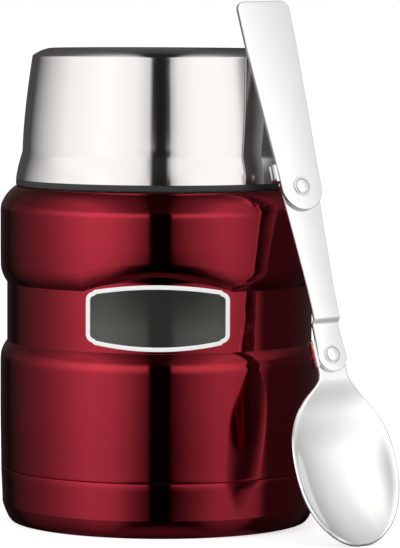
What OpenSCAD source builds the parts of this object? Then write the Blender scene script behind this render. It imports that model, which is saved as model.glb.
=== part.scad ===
// Insulated food jar: a double-walled steel vessel with a screw stopper, a screw-on lid that
// serves as a bowl, and a folding spoon that leans on it.
// Millimetres, +Z up. The origin is the middle of the foot, on the table. The front is -Y.

/* [Jar] */
// Radius of the two bulging bands
body_r = 48.1; // [47.6:0.1:48.6]
// Radius of the waist between the bands
waist_r = 46.1; // [45.8:0.1:46.4]
// Height of the waist's lower edge
waist_bottom = 54.4; // [53:0.1:56]
// Height of the waist's upper edge
waist_top = 72.1; // [71:0.1:72.5]
// Height of the seam between the base cup and the outer shell
seam_z = 16.5; // [15:0.1:18]
// Radius of the foot where it meets the table
foot_r = 44.6; // [44:0.1:45]
// Height of the flat shoulder that the lid closes on
shoulder_z = 101; // [100.6:0.1:101]
// Thickness of the steel walls
wall = 0.6; // [0.5:0.05:0.7]
// Inner radius of the food cavity
cavity_r = 42.3; // [41.5:0.1:42.5]
// Height of the mouth's lip
lip_z = 122; // [121.5:0.1:122]
// Outer radius of the neck
neck_r = 37.3; // [37.2:0.05:37.4]
// Inner radius of the mouth
mouth_r = 35.2; // [35.1:0.05:35.3]

/* [Badge] */
// Width of the blank badge, measured straight across
badge_w = 42; // [36:0.5:44]
// Height of the badge at its two sides
badge_side_h = 15; // [11:0.5:15]
// Rise of the badge's bowed top and bottom edges
badge_bow = 2.2; // [1:0.1:2.2]
// Height of the badge's middle above the table
badge_z = 64.7; // [64.5:0.1:65]
// Thickness of the badge
badge_t = 0.4; // [0.3:0.05:0.6]

/* [Lid] */
// Height of the lid's flat top above the table
lid_top_z = 142.5; // [142:0.1:144]
// Radius of the lid's black rim
rim_r = 43.45; // [43.2:0.05:43.6]
// Underside of the black rim
rim_z = 101.3; // [101.3:0.05:101.4]
// Lower edge of the steel lid shell
lid_shell_z = 103.2; // [103.1:0.05:103.4]
// Height of the crease where the lid starts to flare
lid_crease_z = 111.5; // [110.5:0.1:112]
// Radius of the lid's inside at its thread
liner_thread_r = 39.2; // [39.15:0.05:39.25]
// Thickness of the plastic liner
liner_t = 1.4; // [1.2:0.1:1.4]

/* [Stopper] */
// Radius of the stopper's plug
plug_r = 33.6; // [33.4:0.1:33.7]
// Underside of the plug
plug_bottom_z = 101; // [100:0.5:102]
// Radius of the stopper's head
head_r = 36.4; // [36.2:0.1:36.5]
// Height of the stopper's deck
deck_z = 128.5; // [128:0.1:129]
// Floor of the spoon recess
recess_floor_z = 118; // [117:0.5:119]
// Width of the spoon recess at its round end
recess_w = 37; // [36:0.5:38]
// Width of the spoon recess along its channel
channel_w = 21; // [19:0.5:23]

/* [Thread] */
// Rise of a thread in one full turn
thread_lead = 12; // [10:1:13]
// Number of starts in each thread
thread_starts = 3; // [2:1:3]
// Angle that each thread ridge spans
thread_arc = 100; // [80:5:110]

/* [Spoon] */
// Thickness of the spoon's three leaves
leaf_t = 1.2; // [1.1:0.05:1.25]
// Gap between leaves that turn on each other
leaf_gap = 0.15; // [0.1:0.05:0.2]
// Height of the lower rivet above the bowl's tip, along the spoon
lower_rivet_l = 56.5; // [56:0.1:57]
// Distance between the two rivets
rivet_span = 50.2; // [50:0.1:50.5]
// Length of the handle above the upper rivet
handle_l = 57.3; // [55:0.1:57.5]
// Width of the handle at its free end
handle_w = 18.3; // [17:0.1:18.6]
// Width of the spoon's bowl
bowl_w = 35.4; // [34:0.1:36]
// Depth of the spoon's bowl
bowl_depth = 5.4; // [5:0.1:5.6]
// Turn of the spoon about the vertical
spoon_yaw = 33; // [33:0.1:33.4]
// Lean of the spoon back onto the lid
spoon_lean = 19.55; // [19.5:0.05:19.6]

/* [Hidden] */
$fn = 96;
over = 1;

coat_red = "#8e1e2c";
bare_steel = "#c9c9c6";
satin_steel = "#d8d6d2";
spoon_steel = "#e4e4e2";
black_plastic = "#2c2d2c";
badge_grey = "#4a4a46";
silicone = "#b9bbb8";
foam_cream = "#e2dcc8";

// The outer shell
taper_z = 31;
low_r = body_r - 0.2;
bevel_top_h = 5.6;
bevel_top_power = 2;
bevel_low_h = 6.5;
bevel_low_power = 2.8;
side_round = 6;
side_round_z = 93.9;
side_round_end = 25;
crown_round = 11.5;
neck_end_z = lip_z - wall;

// The arched recess over the badge: the height of its top, the radius of the cone that
// shapes it, and how fast that cone narrows towards the front
arch_z = 75.75;
arch_r = 69.2;
arch_flare = 1.2;
arch_half_w = 24;
arch_deep = 14;
arch_below = 2;

// The base cup
base_side = [[45.2, 0.3], [46.3, 2.3], [47.1, 4.2], [47.45, 5.5]];
foot_ring_w = 2.8;
base_recess_z = 2.4;
base_rib_h = 3;

// The vacuum space
inner_bottom_z = 8;
inner_rim_z = 10.5;
cavity_shoulder_z = 89;
cavity_neck_z = 98;
vacuum_r = 46.7;
vacuum_z = 4.6;
vacuum_lip_h = 0.6;
bead_r = 2.6;
bead_hole_r = 1.5;
bead_drop = 0.9;
getter_r = 5;
getter_h = 1.6;
getter_x = 15;

// The badge's rounded outline
badge_corner = 2.5;

// The threads
thread_w = 2;
thread_root = 0.3;
neck_crest_r = 38.2;
liner_crest_r = 38.4;
mouth_crest_r = 34.5;
plug_crest_r = 34.3;
neck_thread_z = 111.5;
liner_thread_z = 109.5;
mouth_thread_z = 113;
plug_thread_z = 111;

// The stopper
plug_t = 1.6;
plug_chamfer = 0.8;
head_z = lip_z + 1.6;
head_t = 1.4;
ring_clear = 0.15;
ring_in = 34;
skirt_t = 1.5;
deck_t = 1.6;
deck_edge = 0.8;
rib_r = 0.6;
rib_count = 30;
tray_t = 1.2;
tray_r = plug_r - plug_t - 0.2;
foam_clear = 0.3;

// The lid
lid_wall = 0.6;
crease_r = 41.5;
lid_edge = [[38.25, 2.1], [37.3, 1.4], [36, 0.8], [34.3, 0.2], [33.4, 0]];
lid_taper = 2.95;
lid_side_h = 28.4;
liner_line = [[39.2, 113], [38.5, 114.3], [37.6, 128], [36.8, 136], [34, 138.6]];
groove_in = 40;
groove_out = 42.6;
groove_h = 1;
seal_clear = 0.2;

// The spoon along its own axis: X across, Y from its front to its back, Z up from the bowl's tip
handle_end_r = 7.05;
handle_hip_l = 7.6;
handle_hip_w = 14.5;
handle_corner = 2.5;
middle_end_r = 5.05;
middle_top_r = 6.6;
middle_narrow_w = 9.1;
middle_narrow_l = 14;
middle_wide_w = 11.3;
middle_wide_l = 36.5;
joggle_back = 1.4;
joggle_l = 9.5;
joggle_run = 1.8;
tab_t = 1.1;
tab_clear = 0.2;
upper_tab = [1.8, 7, -0.4];
upper_tab_x = 7.5;
lower_tab = [-3.5, 4.5, 2.3];
lower_tab_x = middle_end_r + tab_clear;
neck_w = 10;
rim_back = 7;
bowl_tip_l = 0.5;
bowl_wide_l = 24.5;
bowl_neck_l = 49;
bowl_join_l = 51.5;
bowl_round = 2.1;
bowl_shoulder = 2.6;
bowl_fillet = 0.012;
bowl_section = 2.4;
bowl_stations = 24;
bowl_columns = 14;
pin_r = 1.8;
pin_clear = 0.05;
head_ring_r = 2.9;
head_ring_h = 0.25;
dome_r = 2.45;
dome_h = 0.75;
tail_r = 2.6;
tail_h = 0.6;
spoon_roll = -1.5;
spoon_origin = [63.74, -64.04, 2.34];

middle_y = leaf_t + leaf_gap;
lower_end_y = middle_y + joggle_back;
neck_y = lower_end_y + leaf_t + leaf_gap;
upper_rivet_l = lower_rivet_l + rivet_span;

// Points of an arc about c, from angle a0 to a1, without the points before the given first one
function arc(c, r, a0, a1, n = 5, first = 0) =
    [for (i = [first:n]) let (a = a0 + (a1 - a0) * i / n) c + r * [cos(a), sin(a)]];

// The same list, last point first
function reverse(list) = [for (i = [len(list) - 1:-1:0]) list[i]];

// A smooth step from 0 to 1
function ease(t) = let (u = min(1, max(0, t))) u * u * (3 - 2 * u);

// The edge of a bulging band, from the waist out to the bulge over a height h
function bevel(z, h, power, t, n = 6) =
    [for (i = [0:n]) let (u = i / n)
        [waist_r - t + (body_r - waist_r) * (1 - pow(1 - u, power)), z + h * u]];

// The shoulder: a tight round at the side that runs on in a wider one up to the flat top
function shoulder(t) =
    let (side = [body_r - side_round, side_round_z],
         crown = side + (side_round - crown_round) * [cos(side_round_end), sin(side_round_end)],
         top = asin((shoulder_z - t - crown[1]) / (crown_round - t)))
    concat(arc(side, side_round - t, 0, side_round_end, 4),
           arc(crown, crown_round - t, side_round_end, top, 6, 1));

// The outer shell's line from the seam up to the neck's end, moved inwards by t
function shell_line(t) = concat(
    [[low_r - t, seam_z], [body_r - t, taper_z]],
    reverse(bevel(waist_bottom, -bevel_low_h, bevel_low_power, t)),
    bevel(waist_top, bevel_top_h, bevel_top_power, t),
    shoulder(t),
    [[neck_r - t, shoulder_z - t], [neck_r - t, neck_end_z]]);

// The lid's side, from its lower edge up to the edge of its top, moved inwards by t
function lid_line(t) = concat(
    [for (i = [0:4]) let (u = 1 - i / 4)
        [crease_r - t + (rim_r - crease_r) * (u + sin(90 * u)) / 2,
         lid_crease_z - (lid_crease_z - lid_shell_z) * u]],
    [for (i = [1:6]) let (u = i / 6)
        [crease_r - t - lid_taper * pow(u, 1.5), lid_crease_z + (lid_side_h - t) * u]],
    [for (p = lid_edge) [p[0] - t, lid_top_z - p[1] - t]]);

// A body turned about the jar's axis from a closed outline of [radius, height] points
module turned(points) rotate_extrude() polygon(points);

// A tube between two radii and two heights
module ring(r_in, r_out, z0, z1) turned([[r_in, z0], [r_out, z0], [r_out, z1], [r_in, z1]]);

// Short ridges of a screw thread on a wall of radius wall_r, reaching to crest_r
module thread(wall_r, crest_r, z) {
    side = sign(crest_r - wall_r);
    tilt = atan(thread_lead / (2 * PI * crest_r));
    for (i = [0:thread_starts - 1])
        rotate([0, 0, 360 / thread_starts * i])
            translate([0, 0, z])
                rotate([tilt, 0, 0])
                    rotate([0, 0, -thread_arc / 2])
                        rotate_extrude(angle = thread_arc)
                            polygon([[wall_r - side * thread_root, -thread_w / 2],
                                     [crest_r, -thread_w / 4],
                                     [crest_r, thread_w / 4],
                                     [wall_r - side * thread_root, thread_w / 2]]);
}

// The arched recess over the badge, moved inwards by t: all that lies outside the waist's
// radius and under a cone, whose own axis runs from back to front high above the waist
module arch_cut(t) {
    difference() {
        ring(waist_r - t, body_r + over, waist_top - arch_below, arch_z + arch_deep);
        translate([0, -waist_r + arch_deep, arch_z + arch_r + t])
            rotate([90, 0, 0])
                cylinder(h = 2 * arch_deep, r1 = arch_r + arch_flare * arch_deep,
                         r2 = arch_r - arch_flare * arch_deep);
        for (side = [0, 1])
            mirror([side, 0, 0])
                translate([arch_half_w, -body_r - 2 * over, 0])
                    cube([body_r, 2 * body_r + 4 * over, lip_z]);
        translate([-body_r - over, -waist_r + arch_deep - over, 0])
            cube([2 * body_r + 2 * over, 2 * body_r, lip_z]);
    }
}

// The outer shell filled solid, moved inwards by t
module shell_core(t)
    difference() {
        turned(concat([[0, seam_z]], shell_line(t), [[0, neck_end_z]]));
        arch_cut(t);
    }

module outer_shell() color(coat_red) {
    difference() {
        shell_core(0);
        shell_core(wall);
        ring(0, low_r - wall, seam_z - over, seam_z + over);
        ring(0, neck_r - wall, neck_end_z - over, neck_end_z + over);
    }
    thread(neck_r, neck_crest_r, neck_thread_z);
}

module base_cup() color(coat_red) {
    foot_in = foot_r - foot_ring_w;
    turned(concat(
        [[foot_r, 0]], base_side,
        [[low_r, seam_z], [vacuum_r, seam_z], [vacuum_r, seam_z - base_rib_h],
         [low_r - wall, seam_z - base_rib_h - wall]],
        [for (p = reverse(base_side)) [p[0] - wall, max(p[1], wall)]],
        [[foot_in + wall, wall], [foot_in, base_recess_z + wall], [0, base_recess_z + wall],
         [0, base_recess_z], [foot_in - wall, base_recess_z], [foot_in, 0]]));
}

module inner_vessel() color(bare_steel) {
    outer = cavity_r + wall;
    neck_out = mouth_r + wall;
    turned([[outer, inner_rim_z], [outer, cavity_shoulder_z], [neck_out, cavity_neck_z],
            [neck_out, neck_end_z], [neck_r, neck_end_z], [neck_r, lip_z], [mouth_r, lip_z],
            [mouth_r, cavity_neck_z - wall / 2], [cavity_r, cavity_shoulder_z - wall / 2],
            [cavity_r, inner_rim_z]]);
    thread(mouth_r, mouth_crest_r, mouth_thread_z);
}

module inner_bottom() color(bare_steel) {
    outer = cavity_r + wall;
    turned([[0, inner_bottom_z], [outer - wall, inner_bottom_z], [outer, inner_bottom_z + wall],
            [outer, inner_rim_z], [cavity_r, inner_rim_z],
            [cavity_r, inner_bottom_z + 2 * wall], [cavity_r - wall, inner_bottom_z + wall],
            [0, inner_bottom_z + wall]]);
}

module vacuum_bottom() color(bare_steel) {
    turned([[bead_hole_r, vacuum_z], [vacuum_r - wall, vacuum_z], [vacuum_r, vacuum_z + wall],
            [vacuum_r, seam_z], [low_r - wall, seam_z], [low_r - wall, seam_z + vacuum_lip_h],
            [vacuum_r - wall, seam_z + vacuum_lip_h], [vacuum_r - wall, vacuum_z + 2 * wall],
            [vacuum_r - 2 * wall, vacuum_z + wall], [bead_hole_r, vacuum_z + wall]]);
}

module getter() color("#8a8a86")
    translate([getter_x, 0, inner_bottom_z - getter_h])
        cylinder(h = getter_h, r = getter_r);

module seal_bead() color("#5c5a4e") {
    translate([0, 0, vacuum_z - bead_drop])
        cylinder(h = bead_drop, r1 = bead_r - bead_drop, r2 = bead_r);
    translate([0, 0, vacuum_z])
        cylinder(h = wall, r = bead_hole_r);
}

// The badge's outline, as wide as the badge and bowed at its top and bottom
module badge_outline() {
    half_w = badge_w / 2;
    half_h = badge_side_h / 2;
    bow_r = (half_w * half_w + badge_bow * badge_bow) / (2 * badge_bow);
    spread = asin((half_w - badge_corner) / bow_r);
    top = arc([0, half_h + badge_bow - bow_r], bow_r, 90 - spread, 90 + spread, 8);
    side = arc([-half_w + badge_corner, half_h - badge_corner], badge_corner, 105, 180, 4);
    upper = concat([for (p = reverse(side)) [-p[0], p[1]]], top, side);
    polygon(concat(upper, [for (p = upper) -p]));
}

module badge() color(badge_grey)
    intersection() {
        ring(waist_r, waist_r + badge_t, waist_bottom, arch_z + badge_bow);
        translate([0, 0, badge_z])
            rotate([90, 0, 0])
                linear_extrude(body_r + over)
                    badge_outline();
    }

module stopper_body() color(black_plastic) {
    inside = plug_r - plug_t;
    turned([[0, plug_bottom_z], [plug_r - plug_chamfer, plug_bottom_z],
            [plug_r, plug_bottom_z + plug_chamfer], [plug_r, head_z], [head_r, head_z],
            [head_r, head_z + head_t], [inside, head_z + head_t],
            [inside, plug_bottom_z + plug_t], [0, plug_bottom_z + plug_t]]);
    thread(plug_r, plug_crest_r, plug_thread_z);
}

// The plan of the spoon recess, grown by t and kept inside the circle r
module recess_plan(t, r)
    intersection() {
        circle(r = r);
        union() {
            translate([recess_w / 2 - r, 0])
                circle(r = recess_w / 2 + t);
            translate([recess_w / 2 - r, -channel_w / 2 - t])
                square([2 * r, channel_w + 2 * t]);
        }
    }

module stopper_cover() color(black_plastic) {
    skirt_z = head_z + head_t;
    deck_low = deck_z - deck_t;
    difference() {
        union() {
            turned([[0, deck_low], [head_r - skirt_t, deck_low], [head_r - skirt_t, skirt_z],
                    [head_r, skirt_z], [head_r, deck_z - deck_edge],
                    [head_r - deck_edge, deck_z], [0, deck_z]]);
            translate([0, 0, recess_floor_z - tray_t])
                linear_extrude(deck_low + tray_t - recess_floor_z + tray_t / 2)
                    recess_plan(tray_t, tray_r);
            for (i = [0:rib_count - 1])
                rotate([0, 0, 360 / rib_count * i])
                    translate([head_r, 0, skirt_z])
                        cylinder(h = deck_z - 2 * deck_edge - skirt_z, r = rib_r, $fn = 24);
        }
        translate([0, 0, recess_floor_z])
            linear_extrude(deck_z - recess_floor_z + over)
                recess_plan(0, tray_r - tray_t);
    }
}

module stopper_foam() color(foam_cream)
    translate([0, 0, plug_bottom_z + plug_t + foam_clear])
        cylinder(h = recess_floor_z - tray_t - plug_bottom_z - plug_t - 2 * foam_clear,
                 r = plug_r - plug_t - foam_clear);

module stopper_seal() color(silicone)
    ring(ring_in, head_r + foam_clear, lip_z + ring_clear, head_z - ring_clear);

module lid_shell() color(satin_steel)
    turned(concat(lid_line(0), [[0, lid_top_z], [0, lid_top_z - lid_wall]],
                  reverse(lid_line(lid_wall))));

module lid_liner() color(black_plastic) {
    inside = concat([[liner_thread_r, rim_z]], liner_line);
    top_z = liner_line[len(liner_line) - 1][1];
    difference() {
        turned(concat(
            inside, [[0, top_z], [0, top_z + liner_t]],
            [for (p = reverse(liner_line)) [p[0] + liner_t, min(p[1] + liner_t / 2, top_z + liner_t)]],
            [[liner_thread_r + liner_t, lid_shell_z], [rim_r, lid_shell_z], [rim_r, rim_z]]));
        ring(groove_in, groove_out, rim_z - over, rim_z + groove_h);
    }
    thread(liner_thread_r, liner_crest_r, liner_thread_z);
}

module lid_seal() color(silicone)
    ring(groove_in + seal_clear, groove_out - seal_clear,
         rim_z - ring_clear, rim_z + groove_h - seal_clear);

// Stands a spoon piece, drawn along its own axis, where the spoon leans on the lid
module spoon_place()
    translate(spoon_origin)
        rotate([0, 0, spoon_yaw])
            rotate([-spoon_lean, 0, 0])
                rotate([0, spoon_roll, 0])
                    children();

// A flat leaf of thickness leaf_t whose front face is at y
module leaf(y)
    translate([0, y + leaf_t, 0])
        rotate([90, 0, 0])
            linear_extrude(leaf_t)
                children();

// A round pin or hole along Y at height l on the spoon's axis
module pin(l, r, y0, y1)
    translate([0, y1, l])
        rotate([90, 0, 0])
            cylinder(h = y1 - y0, r = r);

// A leaf's stop tab: a plate on edge beside the rivet at height l, and the arm that carries it
module stop_tab(l, tab, x, y, root_x) {
    height = tab[1] - tab[0];
    translate([-x - tab_t, tab[2], l + tab[0]])
        cube([tab_t, y + leaf_t - tab[2], height]);
    translate([-x - tab_t, y, l + tab[0]])
        cube([x + tab_t - root_x, leaf_t, height]);
}

module spoon_handle() color(spoon_steel)
    spoon_place()
        difference() {
            leaf(0)
                translate([0, upper_rivet_l])
                    handle_outline();
            pin(upper_rivet_l, pin_r + pin_clear, -over, leaf_t + over);
        }

// The handle's outline about the upper rivet
module handle_outline() {
    half = handle_w / 2;
    polygon(concat(
        arc([0, 0], handle_end_r, 180, 360, 24),
        [[handle_hip_w / 2, handle_hip_l]],
        arc([half - handle_corner, handle_l - handle_corner], handle_corner, 0, 90),
        arc([-half + handle_corner, handle_l - handle_corner], handle_corner, 90, 180),
        [[-handle_hip_w / 2, handle_hip_l]]));
}

// The middle leaf's outline about the lower rivet
module middle_outline()
    polygon(concat(
        arc([0, 0], middle_end_r, 180, 360, 20),
        [[middle_narrow_w / 2, middle_narrow_l], [middle_wide_w / 2, middle_wide_l]],
        arc([0, rivet_span], middle_top_r, 0, 180, 20),
        [[-middle_wide_w / 2, middle_wide_l], [-middle_narrow_w / 2, middle_narrow_l]]));

// The middle leaf from the side: its lower end is set back by the joggle
module middle_side()
    polygon([
        [lower_end_y, -middle_end_r - over], [lower_end_y, joggle_l - joggle_run],
        [middle_y, joggle_l], [middle_y, rivet_span + middle_top_r + over],
        [middle_y + leaf_t, rivet_span + middle_top_r + over], [middle_y + leaf_t, joggle_l],
        [lower_end_y + leaf_t, joggle_l - joggle_run],
        [lower_end_y + leaf_t, -middle_end_r - over]]);

module spoon_middle() color(spoon_steel)
    spoon_place()
        difference() {
            union() {
                translate([0, 0, lower_rivet_l])
                    intersection() {
                        translate([0, neck_y, 0])
                            rotate([90, 0, 0])
                                linear_extrude(neck_y)
                                    middle_outline();
                        translate([-body_r / 2, 0, 0])
                            rotate([90, 0, 90])
                                linear_extrude(body_r)
                                    middle_side();
                    }
                stop_tab(upper_rivet_l, upper_tab, upper_tab_x, middle_y, middle_end_r);
            }
            pin(upper_rivet_l, pin_r, 0, neck_y);
            pin(lower_rivet_l, pin_r, 0, neck_y + over);
        }

// A rivet at height l whose head stands on the face y0 and whose tail closes on the face y1
module rivet(l, y0, y1)
    spoon_place() {
        pin(l, pin_r, y0 - head_ring_h, y1);
        pin(l, head_ring_r, y0 - head_ring_h, y0);
        pin(l, tail_r, y1, y1 + tail_h);
        translate([0, y0 - head_ring_h, l])
            rotate([90, 0, 0])
                dome();
    }

// The rivet's domed head, a cap of a sphere
module dome() {
    ball_r = (dome_r * dome_r + dome_h * dome_h) / (2 * dome_h);
    intersection() {
        translate([0, 0, dome_h - ball_r])
            sphere(r = ball_r);
        cylinder(h = dome_h, r = dome_r + over);
    }
}

module upper_rivet() color(bare_steel)
    rivet(upper_rivet_l, -pin_clear, middle_y + leaf_t);

module lower_rivet() color(bare_steel)
    rivet(lower_rivet_l, lower_end_y, neck_y + leaf_t + pin_clear);

// How far the bowl stands out beyond its neck at height l, as a share of the whole, before
// and after the fillet between the two is rounded
function bowl_share(l) = 1 - pow((l - bowl_wide_l) / (bowl_neck_l - bowl_wide_l), bowl_shoulder);
function bowl_flare(l) = let (v = bowl_share(l)) (v + sqrt(v * v + bowl_fillet)) / 2;

// Half the width of the spoon's bowl at height l
function bowl_half(l) = l < bowl_wide_l
    ? bowl_w / 2 * pow(1 - pow((bowl_wide_l - l) / (bowl_wide_l - bowl_tip_l), bowl_round), 1 / bowl_round)
    : neck_w / 2 + (bowl_w - neck_w) / 2 * (bowl_flare(l) - bowl_flare(bowl_join_l))
      / (bowl_flare(bowl_wide_l) - bowl_flare(bowl_join_l));

// Where the bowl's rim lies at height l, and how deep its hollow is there
function bowl_rim(l) = rim_back + (neck_y - rim_back) * ease((l - 42) / 9);
function bowl_hollow(l) = l < bowl_wide_l
    ? bowl_depth * (1 - pow((bowl_wide_l - l) / (bowl_wide_l - bowl_tip_l), 2.2))
    : bowl_depth * (1 - ease((l - bowl_wide_l) / (bowl_neck_l - bowl_wide_l)));

// A point of the bowl's front face, at height l and at s from -1 to 1 across
function bowl_point(l, s, t) =
    [bowl_half(l) * s, bowl_rim(l) + bowl_hollow(l) * (1 - pow(abs(s), bowl_section)) + t, l];

// The bowl: a front grid and a back grid of points, joined along their edges
module bowl_shape() {
    first = bowl_tip_l + 0.08;
    nl = bowl_stations;
    ns = bowl_columns;
    heights = [for (i = [0:nl]) first + (bowl_join_l - first) * (1 - cos(90 * i / nl))];
    front = [for (l = heights) for (j = [0:ns]) bowl_point(l, 2 * j / ns - 1, 0)];
    back = [for (l = heights) for (j = [0:ns]) bowl_point(l, 2 * j / ns - 1, leaf_t)];
    function at(i, j) = i * (ns + 1) + j;
    count = len(front);
    skin = [for (i = [0:nl - 1]) for (j = [0:ns - 1])
        [at(i, j), at(i + 1, j), at(i + 1, j + 1), at(i, j + 1)]];
    edge = concat(
        [for (j = [0:ns - 1]) [at(0, j), at(0, j + 1)]],
        [for (i = [0:nl - 1]) [at(i, ns), at(i + 1, ns)]],
        [for (j = [ns:-1:1]) [at(nl, j), at(nl, j - 1)]],
        [for (i = [nl:-1:1]) [at(i, 0), at(i - 1, 0)]]);
    polyhedron(
        concat(front, back),
        concat(
            [for (f = skin) for (tri = [[f[0], f[1], f[2]], [f[0], f[2], f[3]]]) tri],
            [for (f = skin) for (tri = [[f[2], f[1], f[0]], [f[3], f[2], f[0]]])
                [for (k = tri) k + count]],
            [for (e = edge) for (tri = [[e[0], e[1], e[1] + count], [e[0], e[1] + count, e[0] + count]])
                tri]));
}

module spoon_bowl() color(spoon_steel)
    spoon_place() {
        bowl_shape();
        difference() {
            union() {
                leaf(neck_y)
                    polygon(concat(
                        [[-neck_w / 2, bowl_join_l - over], [neck_w / 2, bowl_join_l - over]],
                        arc([0, lower_rivet_l], middle_end_r, 0, 180, 20)));
                stop_tab(lower_rivet_l, lower_tab, lower_tab_x, neck_y, neck_w / 2 - over);
            }
            pin(lower_rivet_l, pin_r + pin_clear, 0, neck_y + leaf_t + over);
        }
    }

outer_shell();
base_cup();
inner_vessel();
inner_bottom();
vacuum_bottom();
getter();
seal_bead();
badge();
stopper_body();
stopper_cover();
stopper_foam();
stopper_seal();
lid_shell();
lid_liner();
lid_seal();
spoon_middle();
upper_rivet();
lower_rivet();
spoon_handle();
spoon_bowl();
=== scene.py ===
"""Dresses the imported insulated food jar: its smooth steel and lacquered shells, the blank badge,
the lid with its black rim, the folding spoon, and a plain pale studio round them."""

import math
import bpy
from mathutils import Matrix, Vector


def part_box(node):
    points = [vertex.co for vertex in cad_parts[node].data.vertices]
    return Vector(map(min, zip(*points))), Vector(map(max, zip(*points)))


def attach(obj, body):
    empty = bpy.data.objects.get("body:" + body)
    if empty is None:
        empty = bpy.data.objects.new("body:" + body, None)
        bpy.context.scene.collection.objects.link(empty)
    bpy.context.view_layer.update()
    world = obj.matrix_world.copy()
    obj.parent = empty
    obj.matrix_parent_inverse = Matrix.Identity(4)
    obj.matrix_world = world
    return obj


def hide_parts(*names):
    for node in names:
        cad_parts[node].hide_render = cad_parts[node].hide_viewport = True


bl_info = {
    "name": "Insulated food jar",
    "version": (1, 0, 0),
    "blender": (4, 5, 0),
    "location": "3D View > Sidebar > Food jar",
    "description": "Models and finishes a food jar with its lid, stopper and folding spoon",
    "category": "Object",
}

import bmesh
import bpy
from mathutils import Matrix, Vector

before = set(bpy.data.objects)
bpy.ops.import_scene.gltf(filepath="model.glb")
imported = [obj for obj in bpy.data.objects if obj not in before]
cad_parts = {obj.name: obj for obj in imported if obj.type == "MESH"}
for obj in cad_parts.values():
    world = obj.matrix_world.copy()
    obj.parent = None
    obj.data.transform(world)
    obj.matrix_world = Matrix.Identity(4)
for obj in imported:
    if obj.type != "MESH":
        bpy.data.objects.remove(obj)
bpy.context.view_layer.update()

MM = 0.001
SPIN_STEPS = 288
DOUBLES = 2e-6


# ---------------------------------------------------------------- lines and curves


def arc(centre, radius, start, end, steps):
    """Points of an arc about centre, from the angle start to the angle end, in degrees."""
    angles = [math.radians(start + (end - start) * i / steps) for i in range(steps + 1)]
    return [(centre[0] + radius * math.cos(a), centre[1] + radius * math.sin(a)) for a in angles]


def ease(t):
    """A smooth step from 0 to 1."""
    t = min(1.0, max(0.0, t))
    return t * t * (3 - 2 * t)


def bevel_line(base_r, rise, z, height, power, steps=16):
    """The edge of a bulging band, from the waist at z out to the bulge over a height."""
    return [(base_r + rise * (1 - (1 - i / steps) ** power), z + height * i / steps)
            for i in range(steps + 1)]


# ---------------------------------------------------------------- settings

JAR_LOW, JAR_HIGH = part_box("outer_shell")
LID_LOW, LID_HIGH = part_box("lid_shell")
RIM_LOW, RIM_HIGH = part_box("lid_liner")


def sized(name, description, default):
    """A length property, in metres."""
    return bpy.props.FloatProperty(name=name, description=description, default=default,
                                   min=0.0, precision=4, unit="LENGTH")


def coloured(name, description, hex_colour):
    """A colour property whose default is an sRGB hex value."""
    return bpy.props.FloatVectorProperty(name=name, description=description, size=4,
                                         subtype="COLOR", min=0.0, max=1.0,
                                         default=linear(hex_colour))


def linear(hex_colour):
    """The linear colour, with alpha, of an sRGB hex value such as '8e1e2c'."""
    channels = [int(hex_colour[i:i + 2], 16) / 255 for i in (0, 2, 4)]
    return tuple(c / 12.92 if c <= 0.04045 else ((c + 0.055) / 1.055) ** 2.4
                 for c in channels) + (1.0,)


def darkened(colour, share):
    """A colour times a share, with full alpha."""
    return tuple(c * share for c in colour[:3]) + (1.0,)


class FoodJarBody(bpy.types.PropertyGroup):
    """Sizes and colours of the vessel."""

    bulge_radius: sized("Bulge radius", "Radius of the two bulging bands", JAR_HIGH.x)
    waist_radius: sized("Waist radius", "Radius of the waist between the bands", 46.1 * MM)
    seam_height: sized("Seam height", "Height of the seam over the base cup", JAR_LOW.z)
    coat: coloured("Coat", "Lacquer over the steel", "c42e40")
    steel: coloured("Steel", "Bare drawn steel", "c9c8c5")
    badge: coloured("Badge", "Field of the blank badge", "585853")
    badge_edge: coloured("Badge border", "Border of the blank badge", "f2f2f0")


class FoodJarLid(bpy.types.PropertyGroup):
    """Sizes and colours of the lid."""

    rim_radius: sized("Rim radius", "Radius of the lid's black rim", RIM_HIGH.x)
    top_height: sized("Top height", "Height of the lid's flat top", LID_HIGH.z)
    steel: coloured("Steel", "Satin steel of the lid", "f8f5f2")
    plastic: coloured("Plastic", "Moulded rim and liner", "242625")


class FoodJarSpoon(bpy.types.PropertyGroup):
    """Sizes and colours of the folding spoon."""

    bowl_width: sized("Bowl width", "Width of the spoon's bowl", 35.4 * MM)
    steel: coloured("Steel", "Polished steel of the spoon", "ebebea")


# ---------------------------------------------------------------- modelling by hand


def deselect():
    bpy.ops.object.select_all(action="DESELECT")


def only(obj):
    """Selects one object alone and makes it the active one."""
    deselect()
    obj.select_set(True)
    bpy.context.view_layer.objects.active = obj


def settle(obj):
    """Applies an object's place, turn and size to its mesh."""
    only(obj)
    bpy.ops.object.transform_apply(location=True, rotation=True, scale=True)


def edit(obj):
    """Opens one object alone in edit mode."""
    only(obj)
    bpy.ops.object.mode_set(mode="EDIT")


def close():
    """Goes back to object mode."""
    bpy.ops.object.mode_set(mode="OBJECT")


def extrude(step):
    """Extrudes what is selected by a step."""
    bpy.ops.mesh.extrude_region_move(TRANSFORM_OT_translate={"value": step})


def traced(name, points):
    """A new object with one chain of edges through the points, extruded vertex by vertex."""
    deselect()
    bpy.ops.mesh.primitive_plane_add(size=MM)
    obj = bpy.context.object
    obj.name = obj.data.name = name
    bpy.ops.object.mode_set(mode="EDIT")
    bpy.ops.mesh.merge(type="CENTER")
    bpy.ops.transform.translate(value=points[0])
    for a, b in zip(points, points[1:]):
        extrude(tuple(q - p for p, q in zip(a, b)))
    bpy.ops.mesh.select_all(action="SELECT")
    return obj


def filled(name, outline):
    """A new object with one flat face inside the outline, left in edit mode."""
    obj = traced(name, outline + outline[:1])
    bpy.ops.mesh.remove_doubles(threshold=DOUBLES)
    bpy.ops.mesh.edge_face_add()
    return obj


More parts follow.
